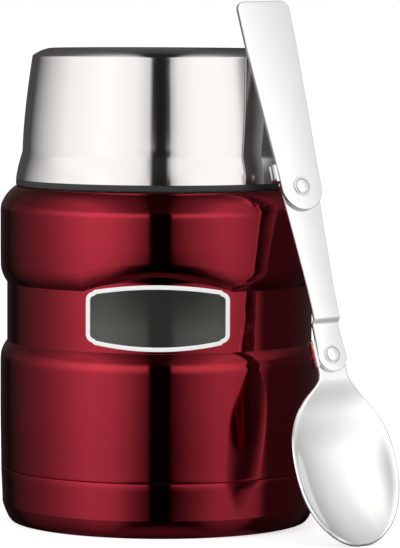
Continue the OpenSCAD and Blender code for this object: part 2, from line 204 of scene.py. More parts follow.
def merged():
    """Merges doubles, turns the normals outwards and leaves edit mode."""
    bpy.ops.mesh.select_all(action="SELECT")
    bpy.ops.mesh.remove_doubles(threshold=DOUBLES)
    bpy.ops.mesh.normals_make_consistent(inside=False)
    close()


def smooth(obj, angle=32):
    """Shades an object smooth, and leaves edges sharper than the angle sharp."""
    only(obj)
    bpy.ops.object.shade_smooth_by_angle(angle=math.radians(angle))


def turned(name, line, steps=SPIN_STEPS):
    """A piece turned about the jar's axis from its section, (radius, height) in millimetres."""
    obj = traced(name, [(r * MM, 0, z * MM) for r, z in line])
    bpy.ops.mesh.spin(steps=steps, angle=2 * math.pi, center=(0, 0, 0), axis=(0, 0, 1))
    merged()
    return obj


def plate(name, outline, y, thickness):
    """A flat plate in the plane of X and Z from its outline in millimetres, its front at y."""
    obj = filled(name, [(x * MM, y * MM, z * MM) for x, z in outline])
    extrude((0, thickness * MM, 0))
    merged()
    return obj


def select_points(obj, indices):
    """Selects the vertices with these indices and no others, in edit mode."""
    mesh = bmesh.from_edit_mesh(obj.data)
    mesh.select_mode = {"VERT"}
    for vert in mesh.verts:
        vert.select_set(vert.index in indices)
    mesh.select_flush_mode()
    bmesh.update_edit_mesh(obj.data)


def select_faces(obj, test):
    """Selects the faces that pass the test and nothing else, in edit mode."""
    bpy.ops.mesh.select_all(action="DESELECT")
    mesh = bmesh.from_edit_mesh(obj.data)
    for face in [face for face in mesh.faces if test(face)]:
        face.select_set(True)
    bmesh.update_edit_mesh(obj.data)


def move_groups(obj, key_of, offset_of):
    """Moves like vertices together: key_of names a vertex's group from its place in
    millimetres, or gives None to leave it, and offset_of gives the group's move."""
    edit(obj)
    groups = {}
    for vert in obj.data.vertices:
        key = key_of(vert.co / MM)
        if key is not None:
            groups.setdefault(key, set()).add(vert.index)
    for key, members in groups.items():
        move = offset_of(key)
        if max(abs(c) for c in move) > 1e-5:
            select_points(obj, members)
            bpy.ops.transform.translate(value=tuple(c * MM for c in move))
    close()


def cut_across(obj, point, normal):
    """Cuts an object's faces with a plane through the point, in millimetres."""
    edit(obj)
    bpy.ops.mesh.select_all(action="SELECT")
    bpy.ops.mesh.bisect(plane_co=tuple(c * MM for c in point), plane_no=normal)
    close()


def modify(obj, kind, **settings):
    """Adds a modifier with its settings and applies it."""
    only(obj)
    modifier = obj.modifiers.new(kind.title(), kind)
    for name, value in settings.items():
        setattr(modifier, name, value)
    bpy.ops.object.modifier_apply(modifier=modifier.name)


def rounded(obj, width, segments=3, angle=30):
    """Rounds the edges sharper than the angle, by a width in millimetres."""
    modify(obj, "BEVEL", width=width * MM, segments=segments, limit_method="ANGLE",
           angle_limit=math.radians(angle), use_clamp_overlap=True)


def joined(objs):
    """Joins objects into the first one."""
    only(objs[0])
    for obj in objs[1:]:
        obj.select_set(True)
    bpy.ops.object.join()
    return objs[0]


def finish_piece(obj, body, materials, nodes=()):
    """Gives a finished piece its materials, its body and its room, and hides the nodes that
    it replaces."""
    settle(obj)
    for material in materials:
        obj.data.materials.append(material)
    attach(obj, body)
    lit_in(obj, room_of(body))
    if nodes:
        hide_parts(*nodes)
    return obj


# ---------------------------------------------------------------- materials


def add_node(tree, kind, settings=None, **links):
    """Adds a shader node, sets its inputs or properties and links the named inputs."""
    node = tree.nodes.new(kind)
    for name, value in (settings or {}).items():
        if name in node.inputs:
            node.inputs[name].default_value = value
        else:
            setattr(node, name, value)
    for name, socket in links.items():
        key = int(name[1:]) if name[1:].isdigit() else name.replace("_", " ")
        tree.links.new(socket, node.inputs[key])
    return node


def new_material(name):
    """An empty node material with its Principled shader and the Object coordinates."""
    material = bpy.data.materials.new(name)
    material.use_nodes = True
    tree = material.node_tree
    tree.nodes.clear()
    shader = add_node(tree, "ShaderNodeBsdfPrincipled")
    out = add_node(tree, "ShaderNodeOutputMaterial")
    tree.links.new(shader.outputs["BSDF"], out.inputs["Surface"])
    place = add_node(tree, "ShaderNodeTexCoord").outputs["Object"]
    return material, tree, shader, place


def set_shader(shader, **values):
    """Sets uniform values on the shader's own sockets."""
    for name, value in values.items():
        shader.inputs[name.replace("_", " ")].default_value = value


def maths(tree, operation, *values):
    """The result of a Math node, from sockets and plain numbers."""
    node = add_node(tree, "ShaderNodeMath", {"operation": operation})
    for socket, value in zip(node.inputs, values):
        if isinstance(value, (int, float)):
            socket.default_value = value
        else:
            tree.links.new(value, socket)
    return node.outputs[0]


def spread(tree, value, low, high):
    """Maps a value between 0 and 1 to the range from low to high."""
    node = add_node(tree, "ShaderNodeMapRange", {"To Min": low, "To Max": high}, Value=value)
    return node.outputs["Result"]


def roughened(tree, shader, pattern, low, high):
    """Spreads the shader's roughness from low to high by a pattern."""
    tree.links.new(spread(tree, pattern, low, high), shader.inputs["Roughness"])


def bumped(tree, shader, height, depth_mm, strength):
    """Links a height pattern of a real depth to the shader's normal."""
    bump = add_node(tree, "ShaderNodeBump", {"Strength": strength, "Distance": depth_mm * MM},
                    Height=height)
    tree.links.new(bump.outputs["Normal"], shader.inputs["Normal"])


def noise(tree, place, size_mm, detail=2.0):
    """Noise whose grains are about a real size across."""
    node = add_node(tree, "ShaderNodeTexNoise", {"Scale": 1 / (size_mm * MM), "Detail": detail},
                    Vector=place)
    return node.outputs["Fac"]


def stretched(tree, place, scale, rotation=(0, 0, 0)):
    """Object coordinates turned and scaled along their own axes."""
    node = add_node(tree, "ShaderNodeMapping", {"Scale": scale, "Rotation": rotation},
                    Vector=place)
    return node.outputs["Vector"]


def around_axis(tree, place, arc_scale):
    """Coordinates that run round the jar's axis: angle times a scale, and height."""
    split = add_node(tree, "ShaderNodeSeparateXYZ", Vector=place)
    angle = maths(tree, "ARCTAN2", split.outputs["X"], split.outputs["Y"])
    length = maths(tree, "MULTIPLY", angle, arc_scale)
    unrolled = add_node(tree, "ShaderNodeCombineXYZ", X=length, Z=split.outputs["Z"])
    return unrolled.outputs["Vector"]


def drawn_out(tree, shader, amount, place=None):
    """Draws the gloss out up and down, as on steel that was brushed round the jar's axis. A
    piece that doesn't run all the way round needs its place to find the axis."""
    set_shader(shader, Anisotropic=amount, Anisotropic_Rotation=0.25)
    if place:
        along = add_node(tree, "ShaderNodeVectorMath", {"operation": "CROSS_PRODUCT"}, _1=place)
        along.inputs[0].default_value = (0, 0, 1)
    else:
        along = add_node(tree, "ShaderNodeTangent", {"direction_type": "RADIAL", "axis": "Z"})
    tree.links.new(along.outputs[0], shader.inputs["Tangent"])


def red_lacquer(colour):
    """Translucent red lacquer over satin steel: the steel shines through it as a deep
    metallic red, and the clear surface adds a thin sharp gloss."""
    material, tree, shader, place = new_material("red_lacquer_on_steel")
    set_shader(shader, Base_Color=colour, Metallic=1.0, Coat_Weight=0.25, Coat_Roughness=0.04,
               Coat_IOR=1.5)
    roughened(tree, shader, noise(tree, place, 9.0, 3.0), 0.08, 0.105)
    drawn_out(tree, shader, 1.0)
    # Orange peel of stoved lacquer, about 2 mm from crest to crest and a micron or so deep
    bumped(tree, shader, noise(tree, place, 2.0, 1.0), 0.0015, 0.35)
    return material


def brushed_steel(name, colour, rough_low, rough_high, depth_mm, line_mm=0.12, draw=0.0):
    """Stainless steel brushed round the jar's axis: fine level lines, a little coarser than
    the real ones so that they show, and a soft sheen along them."""
    material, tree, shader, place = new_material(name)
    set_shader(shader, Base_Color=colour, Metallic=1.0)
    ring = around_axis(tree, place, 0.04)
    lines = noise(tree, stretched(tree, ring, (0.02, 1, 1)), line_mm)
    clouds = noise(tree, place, 14.0)
    mix = maths(tree, "MULTIPLY_ADD", clouds, 0.4, lines)
    roughened(tree, shader, mix, rough_low, rough_high)
    bumped(tree, shader, lines, depth_mm, 0.3)
    if draw:
        drawn_out(tree, shader, draw)
    return material


def polished_steel(colour):
    """Stainless steel sheet, pressed and tumbled bright: nearly a mirror, with the faint
    long waves of a pressed sheet and fine scuffs from use."""
    material, tree, shader, place = new_material("polished_spoon_steel")
    set_shader(shader, Base_Color=colour, Metallic=1.0)
    waves = noise(tree, place, 6.0, 1.0)
    scuffs = noise(tree, place, 0.4, 3.0)
    roughened(tree, shader, maths(tree, "MULTIPLY", waves, scuffs), 0.10, 0.26)
    bumped(tree, shader, waves, 0.01, 0.25)
    return material


def sheared_steel_painted_shade(colour):
    """The edge of the blanked sheet, left a little rough by the press, with painted shade: its
    colour is darkened so that dark outlines run round the leaves.
    """
    material, tree, shader, place = new_material("sheared_spoon_edge_painted_shade")
    # Painted shade: the edge's steel is darkened to less than half the spoon's colour
    set_shader(shader, Base_Color=darkened(colour, 0.45), Metallic=1.0)
    roughened(tree, shader, noise(tree, place, 0.3), 0.28, 0.4)
    return material


def mark_painted_shade_edges(obj):
    """Gives the faces round a leaf's edge the second material, the rough edge steel with its
    painted shade, before the leaf is stood up.
    """
    for face in obj.data.polygons:
        face.material_index = int(abs(face.normal.y) < 0.5)


def moulded_plastic(name, colour, roughness=0.42):
    """Moulded polypropylene with a fine spark-eroded grain that breaks up the highlights."""
    material, tree, shader, place = new_material(name)
    set_shader(shader, Base_Color=colour, IOR=1.49)
    grain = noise(tree, place, 0.25)
    roughened(tree, shader, grain, roughness - 0.06, roughness + 0.08)
    bumped(tree, shader, grain, 0.012, 0.3)
    return material


def badge_field(colour):
    """Anodised aluminium plate, brushed across and dyed dark grey, with a soft gloss."""
    material, tree, shader, place = new_material("grey_anodised_badge")
    set_shader(shader, Base_Color=colour, Metallic=0.75, Coat_Weight=0.1, Coat_Roughness=0.1)
    lines = noise(tree, stretched(tree, place, (0.03, 0.03, 1)), 0.15)
    roughened(tree, shader, lines, 0.16, 0.22)
    bumped(tree, shader, lines, 0.001, 0.3)
    drawn_out(tree, shader, 1.0, place)
    return material


def badge_border(colour):
    """White enamel printed and baked round the plate's edge, smooth and slightly raised."""
    material, tree, shader, place = new_material("white_enamel_border")
    set_shader(shader, Base_Color=colour, IOR=1.5)
    roughened(tree, shader, noise(tree, place, 1.5), 0.22, 0.3)
    return material


def silicone(colour):
    """Moulded silicone rubber: grey, slightly clear at its edges and matt to the touch."""
    material, tree, shader, place = new_material("grey_silicone")
    set_shader(shader, Base_Color=colour, IOR=1.41, Subsurface_Weight=0.15)
    shader.inputs["Subsurface Scale"].default_value = 1.0 * MM
    roughened(tree, shader, noise(tree, place, 0.6), 0.45, 0.6)
    return material


def plain_inner(name, colour, grain_mm, rough, metallic=0.0):
    """The pieces that stay shut inside: foam, glass solder and the getter's sintered metal,
    each with a grain of its own size."""
    material, tree, shader, place = new_material(name)
    set_shader(shader, Metallic=metallic)
    grain = noise(tree, place, grain_mm, 3.0)
    blend = add_node(tree, "ShaderNodeMix", {"data_type": "RGBA"})
    blend.inputs[6].default_value = colour
    blend.inputs[7].default_value = darkened(colour, 0.8)
    tree.links.new(grain, blend.inputs[0])
    tree.links.new(blend.outputs[2], shader.inputs["Base Color"])
    roughened(tree, shader, grain, rough - 0.1, rough + 0.1)
    bumped(tree, shader, grain, grain_mm * 0.1, 0.4)
    return material


# ---------------------------------------------------------------- stage

CAMERA_PLACE = (12.22 * MM, -1090.4 * MM, 154.49 * MM)
CAMERA_TILT = 4.203
CAMERA_ROLL = 0.259
CAMERA_LENS = 237.28
# What each group of pieces mirrors: two large soft boxes with a narrow dark gap between them,
# a table and a dark room behind. "upper" is the light by azimuth, in degrees from the front to
# the right, above the horizon, and "lower" the same below it. "below" is its share by
# elevation, "under" its share by the way out to the side, and "table" the table's light.
# "over" is the light overhead by the way out to the side, "back" its share by the way back and
# "behind" the light of the wall there; it comes in between the elevations of "lean".
PLAIN_ROOM = {"under": [(-1, 1), (1, 1)], "table": [(-90, 0), (90, 0)], "lean": (16, 26)}
VESSEL_ROOM = {
    **PLAIN_ROOM,
    "upper": [(-180, 0.07), (-140, 0.05), (-109, 0.17), (-84, 0.5), (-65, 0.9), (-47, 1.18),
              (-32, 1.05), (-21, 0.84), (-8.4, 0.55), (-6.1, 0.004), (8.6, 0.004), (9.6, 0.4),
              (18, 0.72), (30, 0.84), (45, 0.92), (56, 0.82), (68, 0.5), (82, 0.2), (90, 0.06),
              (180, 0.04)],
    "lower": [(-180, 0.04), (-139, 0.012), (-122, 0.08), (-109, 0.15), (-93, 0.24), (-77, 0.4),
              (-60, 0.62), (-48, 0.72), (-34, 0.64), (-20, 0.4), (-8, 0.13), (-5.2, 0.004),
              (7.8, 0.004), (11, 0.05), (25, 0.27), (44, 0.5), (53, 0.52), (67, 0.42),
              (78, 0.3), (82, 0.13), (86, 0.05), (180, 0.035)],
    "below": [(-90, 0.04), (-64, 0.08), (-52, 0.24), (-40, 0.38), (-30, 0.58), (-20, 0.75),
              (-12, 0.78), (-7, 0.85), (-4, 1)],
    "under": [(-0.6, 1), (-0.45, 0.9), (-0.3, 0.25), (-0.15, 0.03), (0.3, 0.03), (0.42, 0.25),
              (0.55, 0.8), (0.7, 1)],
    "table": [(-75, 0.04), (-66, 0.08), (-52, 0.08), (-46, 0)],
    "over": [(0, 0.02), (0.09, 0.02), (0.14, 0.08), (0.31, 0.2), (0.43, 0.31), (0.63, 0.6),
             (0.84, 0.45), (1, 0.35)],
    "back": [(-1, 1), (-0.2, 0.95), (0, 0.7), (0.28, 0.33), (0.5, 0.17), (1, 0.1)],
    "behind": [(0.35, 0), (0.6, 0.05), (1, 0.07)],
}
LID_LEFT = [(-180, 0.07), (-140, 0.06), (-112, 0.55), (-84, 0.93), (-47, 1.08)]
LID_RIGHT = [(76, 0.5), (82, 0.2), (90, 0.06), (180, 0.04)]
LID_ROOM = {
    **PLAIN_ROOM,
    "upper": LID_LEFT + [(-21, 0.95), (-8.4, 0.66), (-6.1, 0.01), (8.6, 0.01), (9.4, 0.4),
                         (16, 0.82), (30, 1.02), (52, 1.04), (66, 0.98), (71, 0.86)] + LID_RIGHT,
    "lower": LID_LEFT + [(-21, 1.04), (-8, 0.95), (-4, 0.5), (-2.5, 0.01), (5, 0.01),
                         (6.5, 0.5), (10, 0.9), (30, 1.04), (66, 0.98)] + LID_RIGHT,
    "below": [(-90, 0.5), (-60, 0.75), (-30, 0.9), (-8, 0.97), (-4, 1)],
    "over": [(0, 0.02), (0.09, 0.02), (0.12, 0.35), (0.17, 0.72), (0.25, 0.9), (0.4, 0.98),
             (1, 1.08)],
    "back": [(-1, 1), (0.15, 1), (0.3, 0.85), (0.5, 0.32), (0.66, 0.1), (1, 0.07)],
    "behind": [(0.4, 0), (0.7, 0.06), (1, 0.075)],
}
# The spoon leans out over the white table and mirrors more of it
SPOON_ROOM = {
    **PLAIN_ROOM,
    "upper": [(-180, 0.05), (-140, 0.1), (-110, 0.35), (-84, 0.75), (-47, 0.95), (-20, 0.6),
              (0, 0.5), (12, 0.95), (26, 1.38), (60, 1.32), (70, 1.12), (80, 0.95), (100, 0.75),
              (125, 0.5), (145, 0.25), (165, 0.05), (180, 0.05)],
    "below": [(-90, 0.25), (-60, 0.45), (-30, 0.66), (-12, 0.76), (-4, 0.82)],
    "over": [(0, 0.66), (1, 0.86)],
    "back": [(-1, 1), (0.2, 0.9), (1, 0.1)],
    "behind": [(0, 0), (1, 0.05)],
    "lean": (45, 80),
}
SPOON_ROOM["lower"] = SPOON_ROOM["upper"]
# The rooms lie one in another; light passes through all but the last, which is opaque
ROOMS = (("spoon_room", 19, SPOON_ROOM), ("lid_room", 19.5, LID_ROOM),
         ("vessel_room", 20, VESSEL_ROOM))


def room_of(body):
    """The room that the pieces of a body mirror."""
    if body.startswith("spoon"):
        return "spoon_room"
    return "lid_room" if body == "lid" else "vessel_room"


def lit_in(obj, room):
    """Lets a piece mirror one room and no other, by light linking."""
    bpy.data.collections[room].objects.link(obj)


def ramp(tree, value, low, high, stops):
    """Grey by a value between low and high, from (value, grey) stops."""
    share = add_node(tree, "ShaderNodeMapRange", {"From Min": low, "From Max": high}, Value=value)
    node = add_node(tree, "ShaderNodeValToRGB", Fac=share.outputs["Result"])
    colours = node.color_ramp
    while len(colours.elements) < len(stops):
        colours.elements.new(0.5)
    for element, (position, grey) in zip(colours.elements, stops):
        element.position = (position - low) / (high - low)
        element.color = (grey, grey, grey, 1)
    return node.outputs["Color"]


def combined(tree, kind, a, b, factor=None):
    """Two colours mixed, or multiplied where no factor is given."""
    node = add_node(tree, "ShaderNodeMix", {"data_type": "RGBA", "blend_type": kind}, _6=a, _7=b)
    if factor is None:
        node.inputs[0].default_value = 1
    else:
        tree.links.new(factor, node.inputs[0])
    return node.outputs[2]


def mirrored_room(name, radius, room, opaque):
    """A sphere with one room's light, seen only in the reflections of the pieces in it."""
    deselect()
    bpy.ops.mesh.primitive_uv_sphere_add(segments=64, ring_count=32, radius=radius)
    sphere = bpy.context.object
    sphere.name = name
    material = bpy.data.materials.new(name)
    material.use_nodes = True
    tree = material.node_tree
    tree.nodes.clear()
    place = add_node(tree, "ShaderNodeTexCoord").outputs["Object"]
    unit = add_node(tree, "ShaderNodeVectorMath", {"operation": "NORMALIZE"}, _0=place)
    way = add_node(tree, "ShaderNodeSeparateXYZ", Vector=unit.outputs[0]).outputs
    turn = maths(tree, "ARCTAN2", way["X"], maths(tree, "MULTIPLY", way["Y"], -1))
    azimuth = maths(tree, "DEGREES", turn)
    height = maths(tree, "DEGREES", maths(tree, "ARCSINE", way["Z"]))

    def by_height(stops):
        return ramp(tree, height, -90, 90, stops)

    lower = ramp(tree, azimuth, -180, 180, room["lower"])
    under = combined(tree, "MULTIPLY", lower, ramp(tree, way["X"], -1, 1, room["under"]))
    lower = combined(tree, "MIX", lower, under, by_height([(-18, 1), (-9, 0)]))
    below = combined(tree, "MULTIPLY", lower, by_height(room["below"]))
    below = combined(tree, "LIGHTEN", below, by_height(room["table"]))
    above = ramp(tree, azimuth, -180, 180, room["upper"])
    overhead = combined(tree, "MULTIPLY",
                        ramp(tree, maths(tree, "ABSOLUTE", way["X"]), 0, 1, room["over"]),
                        ramp(tree, way["Y"], -1, 1, room["back"]))
    overhead = combined(tree, "LIGHTEN", overhead, ramp(tree, way["Y"], -1, 1, room["behind"]))
    level = combined(tree, "MIX", below, above, by_height([(-3.5, 0), (4, 1)]))
    light = combined(tree, "MIX", level, overhead, by_height(list(zip(room["lean"], (0, 1)))))
    shader = add_node(tree, "ShaderNodeEmission", {"Strength": 1.0}, Color=light).outputs[0]
    if not opaque:
        clear = add_node(tree, "ShaderNodeBsdfTransparent")
        both = add_node(tree, "ShaderNodeAddShader", _0=shader, _1=clear.outputs[0])
        shader = both.outputs[0]
    out = add_node(tree, "ShaderNodeOutputMaterial")
    tree.links.new(shader, out.inputs["Surface"])
    material.cycles.emission_sampling = "NONE"
    sphere.data.materials.append(material)
    for kind in ("camera", "diffuse", "transmission", "volume_scatter", "shadow"):
        setattr(sphere, "visible_" + kind, False)
    sphere.light_linking.receiver_collection = bpy.data.collections.new(name)


def pale_floor():
    """The pale floor: white to the camera, with the object's soft shadow on it."""
    deselect()
    bpy.ops.mesh.primitive_plane_add(size=30)
    floor = bpy.context.object
    floor.name = "floor"
    material, tree, shader, place = new_material("pale_floor")
    set_shader(shader, Base_Color=(0.9, 0.9, 0.9, 1), Roughness=0.9)
    shader.inputs["Specular IOR Level"].default_value = 0
    glow = add_node(tree, "ShaderNodeEmission", {"Color": (1, 1, 1, 1)})
    path = add_node(tree, "ShaderNodeLightPath")
    seen = maths(tree, "MULTIPLY", path.outputs["Is Camera Ray"], 0.55)
    tree.links.new(seen, glow.inputs["Strength"])
    both = add_node(tree, "ShaderNodeAddShader", _0=shader.outputs[0], _1=glow.outputs[0])
    tree.links.new(both.outputs[0], tree.nodes["Material Output"].inputs["Surface"])
    floor.data.materials.append(material)
    floor.visible_glossy = False


def white_world():
    """White behind the object, for the camera, gloss and glass, and a plain grey light."""
    world = bpy.data.worlds.new("white_room")
    bpy.context.scene.world = world
    world.use_nodes = True
    tree = world.node_tree
    tree.nodes.clear()
    path = add_node(tree, "ShaderNodeLightPath")
    seen = path.outputs["Is Camera Ray"]
    for name in ("Is Glossy Ray", "Is Transmission Ray"):
        seen = maths(tree, "MAXIMUM", seen, path.outputs[name])
    strength = spread(tree, seen, 0.55, 1.0)
    back = add_node(tree, "ShaderNodeBackground", {"Color": (1, 1, 1, 1)})
    tree.links.new(strength, back.inputs["Strength"])
    out = add_node(tree, "ShaderNodeOutputWorld")
    tree.links.new(back.outputs[0], out.inputs["Surface"])


def soft_lamp(name, place, aim, size, power):
    """A large square lamp that faces a point and doesn't show in reflections."""
    light = bpy.data.lights.new(name, "AREA")
    light.shape = "SQUARE"
    light.size = size
    light.energy = power
    lamp = bpy.data.objects.new(name, light)
    bpy.context.scene.collection.objects.link(lamp)
    lamp.location = place
    lamp.rotation_euler = (Vector(aim) - Vector(place)).to_track_quat("-Z", "Y").to_euler()
    lamp.visible_glossy = False
    lamp.visible_camera = False


class FOODJAR_OT_stage(bpy.types.Operator):
    """Sets the camera, the floor, the soft lamps and the studio that the steel mirrors"""

    bl_idname = "foodjar.stage"
    bl_label = "Stage"

    def execute(self, context):
        data = bpy.data.cameras.new("camera")
        data.lens = CAMERA_LENS
        data.sensor_width = 36
        data.clip_start, data.clip_end = 0.05, 100
        camera = bpy.data.objects.new("camera", data)
        context.scene.collection.objects.link(camera)
        camera.matrix_world = (Matrix.Translation(CAMERA_PLACE)
                               @ Matrix.Rotation(math.radians(90 - CAMERA_TILT), 4, "X")
                               @ Matrix.Rotation(math.radians(CAMERA_ROLL), 4, "Z"))
        context.scene.camera = camera
        context.scene.view_settings.view_transform = "Standard"
        white_world()
        pale_floor()
        for name, radius, room in ROOMS:
            mirrored_room(name, radius, room, name == ROOMS[-1][0])
        soft_lamp("soft_box_left", (-0.9, -0.7, 0.7), (0, 0, 0.08), 0.7, 6)
        soft_lamp("soft_box_right", (0.9, -0.7, 0.6), (0, 0, 0.08), 0.7, 5)
        return {"FINISHED"}


# ---------------------------------------------------------------- the jar

WAIST_BOTTOM = 54.4
WAIST_TOP = 72.1
LOW_BEVEL = 6.5
TOP_BEVEL = 5.6
SHOULDER_Z = 101
NECK_R = 37.3
NECK_END = 121.4
NECK_CREST_R = 38.2
NECK_THREAD_Z = 111.5
WALL = 0.6
ARCH_R = 69.2
ARCH_Z = 75.75
THREAD_LEAD = 12
THREAD_STARTS = 3
THREAD_ARC = 100


def shell_line(bulge_r, waist_r, seam_z):
    """The outer shell's section, up the outside and down the inside, in millimetres."""
    rise = bulge_r - waist_r
    low_bevel = bevel_line(waist_r, rise, WAIST_BOTTOM, -LOW_BEVEL, 2.8)[::-1]
    top_bevel = bevel_line(waist_r, rise - 0.06, WAIST_TOP, TOP_BEVEL, 2)
    # The shoulder is a tight round at the side that runs on in a wider one up to the flat top
    side_round = arc((bulge_r - 6, 93.9), 6, 0, 25, 8)
    crown_round = arc((bulge_r - 10.985, 91.576), 11.5, 25, 55, 12)[1:]
    foot_roll = arc((bulge_r - 0.2 - 0.35, seam_z + 0.35), 0.35, -90, 0, 4)
    outside = (foot_roll + [(bulge_r - 0.2, z) for z in (17.6, 19)]
               + [(bulge_r - 0.14, 23), (bulge_r - 0.06, 28), (bulge_r - 0.01, 33)]
               + [(bulge_r, z) for z in (37, 41, 45, 47.2)] + low_bevel
               + [(waist_r, z) for z in (55, 58, 61, 65, 68, 71)] + top_bevel
               + [(bulge_r - 0.01, 82)] + [(bulge_r, z) for z in (84.5, 88, 91, 93.2)]
               + side_round + crown_round
               + [(r, SHOULDER_Z) for r in (43.3, 42.5, NECK_R + 0.6)]
               + arc((NECK_R + 0.6, SHOULDER_Z + 0.6), 0.6, -90, -180, 4)
               + [(NECK_R, NECK_END)])
    inside = [(NECK_R - WALL, NECK_END), (NECK_R - WALL, SHOULDER_Z - WALL),
              (43.2, SHOULDER_Z - WALL), (bulge_r - WALL, 93.5), (bulge_r - WALL, 79),
              (waist_r - WALL, WAIST_TOP + 1), (waist_r - WALL, WAIST_BOTTOM - 1),
              (bulge_r - WALL, 49), (bulge_r - WALL, 30), (bulge_r - 0.2 - WALL, seam_z)]
    return outside + inside + outside[:1]


def arch_lift(x):
    """How far the arch over the badge lifts the waist's upper edge at x."""
    return max(0.0, math.sqrt(max(0.0, ARCH_R**2 - x * x)) - ARCH_R + ARCH_Z - WAIST_TOP)


def thread_ridges(name, wall_r, crest_r, z):
    """Short ridges of a screw thread on a wall, reaching to a crest, tilted to their lead."""
    side = 1 if crest_r > wall_r else -1
    half = 1.0
    root = wall_r - side * 0.3
    section = [(root, -half), (crest_r - side * 0.15, -half * 0.6), (crest_r, -half * 0.35),
               (crest_r, half * 0.35), (crest_r - side * 0.15, half * 0.6), (root, half)]
    ridges = []
    for start in range(THREAD_STARTS):
        obj = filled(f"{name}_{start}", [(r * MM, 0, (z + h) * MM) for r, h in section])
        bpy.ops.mesh.select_all(action="SELECT")
        bpy.ops.mesh.spin(steps=40, angle=math.radians(THREAD_ARC), center=(0, 0, 0),
                          axis=(0, 0, 1))
        merged()
        ridges.append(obj)
        arc_half = math.radians(THREAD_ARC) / 2
        first = math.radians(360 / THREAD_STARTS * start)
        for vert in obj.data.vertices:
            angle = math.atan2(vert.co.y, vert.co.x)
            mid = arc_half if angle > -0.01 else arc_half - 2 * math.pi
            vert.co.z += THREAD_LEAD * MM * (angle - mid) / (2 * math.pi)
        obj.data.transform(Matrix.Rotation(first - arc_half, 4, "Z"))
    return joined(ridges)


class FOODJAR_OT_shell(bpy.types.Operator):
    """Turns the outer shell with its bands, raises the arch over the badge and cuts the thread"""

    bl_idname = "foodjar.shell"
    bl_label = "Outer shell"

    def execute(self, context):
        body = context.scene.foodjar_body
        bulge_r, waist_r = body.bulge_radius / MM, body.waist_radius / MM
        shell = turned("outer_shell_lacquered",
                       shell_line(bulge_r, waist_r, body.seam_height / MM), 384)

        def column(place):
            radius = math.hypot(place.x, place.y)
            on_bevel = (waist_r - 0.05 < radius
                        and -0.05 < place.z - WAIST_TOP < TOP_BEVEL + 0.05)
            if not on_bevel or place.y > 0:
                return None
            angle = round(math.degrees(math.atan2(place.x, -place.y)), 2)
            return angle if arch_lift(bulge_r * math.sin(math.radians(angle))) > 0 else None

        move_groups(shell, column,
                    lambda a: (0, 0, arch_lift(waist_r * math.sin(math.radians(a)))))
        thread = thread_ridges("neck_thread", NECK_R, NECK_CREST_R, NECK_THREAD_Z)
        shell = joined([shell, thread])
        smooth(shell)
        finish_piece(shell, "jar",
                     [red_lacquer(body.coat),
                      brushed_steel("neck_steel", body.steel, 0.2, 0.34, 0.003)],
                     ["outer_shell"])
        for face in shell.data.polygons:
            near_neck = math.hypot(face.center.x, face.center.y) < 39.5 * MM
            face.material_index = int(near_neck and face.center.z > (SHOULDER_Z - 1) * MM)
        return {"FINISHED"}


class FOODJAR_OT_base(bpy.types.Operator):
    """Turns the base cup with its rolled seam, its chamfered foot and its recess"""

    bl_idname = "foodjar.base"
    bl_label = "Base cup"

    def execute(self, context):
        body = context.scene.foodjar_body
        top_r = body.bulge_radius / MM - 0.2
        seam = body.seam_height / MM
        outside = (arc((44.6, 0.5), 0.5, -90, -34, 3)
                   + [(45.7, 1.1), (46.3, 2.3), (46.8, 3.5), (47.12, 4.35)]
                   + arc((46.45, 5.6), 1.0, -22, 0, 5)
                   + [(47.5, 7), (47.58, 9), (47.68, 11.5), (47.8, 14)]
                   + arc((top_r - 0.3, seam - 0.3), 0.3, 0, 90, 4))
        inside = [(46.9, seam), (46.9, 8), (46.8, 5.6), (45.6, 2.4), (42.2, 1.0), (41.4, 3.0),
                  (0, 3.0), (0, 2.4), (41.0, 2.4), (41.5, 2.2), (41.8, 0.35)]
        cup = turned("base_cup_lacquered", outside + inside + arc((42.2, 0.4), 0.4, -170, -90, 3)
                     + outside[:1])
        smooth(cup)
        finish_piece(cup, "jar", [red_lacquer(body.coat)], ["base_cup"])
        return {"FINISHED"}


# ---------------------------------------------------------------- the badge


BADGE_THICK = 0.4
BADGE_BORDER = 1.25
BADGE_SINK = 0.12
BADGE_BOW = 2.2
BADGE_CORNER = 2.5


class FOODJAR_OT_badge(bpy.types.Operator):
    """Cuts the blank badge, sets its border round it and bends it to the waist"""

    bl_idname = "foodjar.badge"
    bl_label = "Badge"

    def execute(self, context):
        body = context.scene.foodjar_body
        low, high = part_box("badge")
        half_w = high.x / MM
        bow, corner = BADGE_BOW, BADGE_CORNER
        middle = (low.z + high.z) / 2 / MM
        half_h = (high.z - low.z) / 2 / MM - bow
        bow_r = (half_w**2 + bow**2) / (2 * bow)
        reach = math.degrees(math.asin((half_w - corner) / bow_r))
        top = arc((0, half_h + bow - bow_r), bow_r, 90 - reach, 90 + reach, 24)
        left = arc((corner - half_w, half_h - corner), corner, 105, 180, 8)
        upper = [(-x, z) for x, z in left[::-1]] + top + left
        outline = upper + [(-x, -z) for x, z in upper]
        badge = plate("badge_plate", [(x, z + middle) for x, z in outline], 0, BADGE_THICK)
        badge.data.materials.append(badge_field(body.badge))
        badge.data.materials.append(badge_border(body.badge_edge))
        edit(badge)
        select_faces(badge, lambda face: face.normal.y < -0.9)
        bpy.ops.mesh.inset(thickness=BADGE_BORDER * MM)
        mesh = bmesh.from_edit_mesh(badge.data)
        for face in mesh.faces:
            face.material_index = 0 if face.select else 1
        bmesh.update_edit_mesh(badge.data)
        extrude((0, BADGE_SINK * MM, 0))
        close()
        rounded(badge, 0.08, 2)
        for i in range(-20, 21):
            cut_across(badge, (half_w * i / 20.5, 0, 0), (1, 0, 0))
        front_r = body.waist_radius / MM + BADGE_THICK
        move_groups(badge, lambda p: round(p.x, 3),
                    lambda x: (0, -math.sqrt(front_r**2 - x * x), 0))
        smooth(badge, 40)
        finish_piece(badge, "jar", [], ["badge"])
        return {"FINISHED"}


